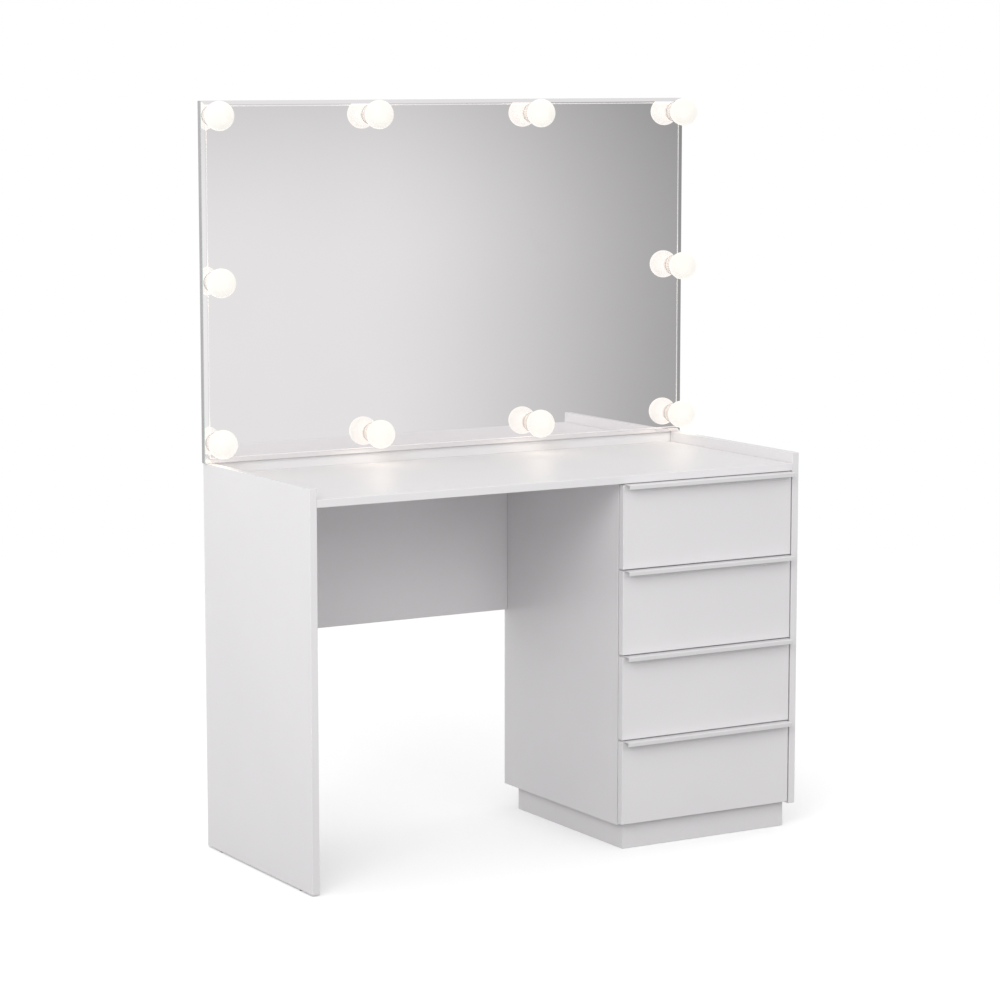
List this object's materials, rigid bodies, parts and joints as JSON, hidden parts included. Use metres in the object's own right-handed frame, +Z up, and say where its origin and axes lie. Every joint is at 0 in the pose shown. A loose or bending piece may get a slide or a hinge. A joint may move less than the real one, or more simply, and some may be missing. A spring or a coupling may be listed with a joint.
{
  "type": "vanity table with mirror",
  "caption": "White vanity table with a pedestal of sliding drawers on the right, an open knee space and a wide bevelled mirror ringed by round opal lamps.",
  "frame": {"origin": "on the floor, under the middle of the object's bounding box", "axes": "+Z up, -Y towards the person at the table, so the mirror looks along -Y; +X towards the drawer pedestal"},
  "size_m": [1.1236, 0.4734, 1.4663],
  "materials": {
    "white_board": "white melamine board with white edge banding, satin",
    "drawer_front": "white melamine drawer front, satin",
    "drawer_box_board": "white foil-wrapped drawer sides, low gloss",
    "hardboard": "white-faced hardboard, matte",
    "mirror_backing": "grey-faced board with grey edge banding, satin",
    "silvered_glass": "silvered float glass with a 10 mm polished bevel all round",
    "handle_paint": "white powder coat, semi-gloss",
    "runner_steel": "zinc-plated steel",
    "bracket_steel": "grey powder coat",
    "lamp_opal": "emissive frosted opal diffuser, warm white",
    "lamp_collar": "white gloss plastic",
    "driver_plastic": "black moulded plastic, matte",
    "glide_nylon": "white nylon"
  },
  "bodies": {
    "table": {"left_side_panel": "white_board", "right_side_panel": "white_board", "table_top": "white_board", "rear_upstand": "white_board", "modesty_panel": "white_board", "pedestal_side_panel": "white_board", "pedestal_floor": "white_board", "pedestal_back": "white_board", "plinth_frame": "white_board", "runner_left_1": "runner_steel", "runner_right_1": "runner_steel", "runner_left_2": "runner_steel", "runner_right_2": "runner_steel", "runner_left_3": "runner_steel", "runner_right_3": "runner_steel", "runner_left_4": "runner_steel", "runner_right_4": "runner_steel", "mirror_backing_board": "mirror_backing", "mirror_glass": "silvered_glass", "mirror_bracket_left": "bracket_steel", "mirror_bracket_right": "bracket_steel", "lamp_driver_box": "driver_plastic", "glide_front": "glide_nylon", "glide_rear": "glide_nylon", "lamp_globe_1": "lamp_opal", "lamp_socket_1": "lamp_collar", "lamp_globe_2": "lamp_opal", "lamp_socket_2": "lamp_collar", "lamp_globe_3": "lamp_opal", "lamp_socket_3": "lamp_collar", "lamp_globe_4": "lamp_opal", "lamp_socket_4": "lamp_collar", "lamp_globe_5": "lamp_opal", "lamp_socket_5": "lamp_collar", "lamp_globe_6": "lamp_opal", "lamp_socket_6": "lamp_collar", "lamp_globe_7": "lamp_opal", "lamp_socket_7": "lamp_collar", "lamp_globe_8": "lamp_opal", "lamp_socket_8": "lamp_collar", "lamp_globe_9": "lamp_opal", "lamp_socket_9": "lamp_collar", "lamp_globe_10": "lamp_opal", "lamp_socket_10": "lamp_collar"},
    "drawer_1": {"drawer_1_front": "drawer_front", "drawer_1_handle": "handle_paint", "drawer_1_box": "drawer_box_board", "drawer_1_bottom": "hardboard"},
    "drawer_2": {"drawer_2_front": "drawer_front", "drawer_2_handle": "handle_paint", "drawer_2_box": "drawer_box_board", "drawer_2_bottom": "hardboard"},
    "drawer_3": {"drawer_3_front": "drawer_front", "drawer_3_handle": "handle_paint", "drawer_3_box": "drawer_box_board", "drawer_3_bottom": "hardboard"},
    "drawer_4": {"drawer_4_front": "drawer_front", "drawer_4_handle": "handle_paint", "drawer_4_box": "drawer_box_board", "drawer_4_bottom": "hardboard"}
  },
  "joints": [
    {"name": "drawer_1_slide", "type": "slide", "parent": "table", "child": "drawer_1", "axis": [0, -1, 0], "range_m": [0, 0.3]},
    {"name": "drawer_2_slide", "type": "slide", "parent": "table", "child": "drawer_2", "axis": [0, -1, 0], "range_m": [0, 0.3]},
    {"name": "drawer_3_slide", "type": "slide", "parent": "table", "child": "drawer_3", "axis": [0, -1, 0], "range_m": [0, 0.3]},
    {"name": "drawer_4_slide", "type": "slide", "parent": "table", "child": "drawer_4", "axis": [0, -1, 0], "range_m": [0, 0.3]}
  ]
}
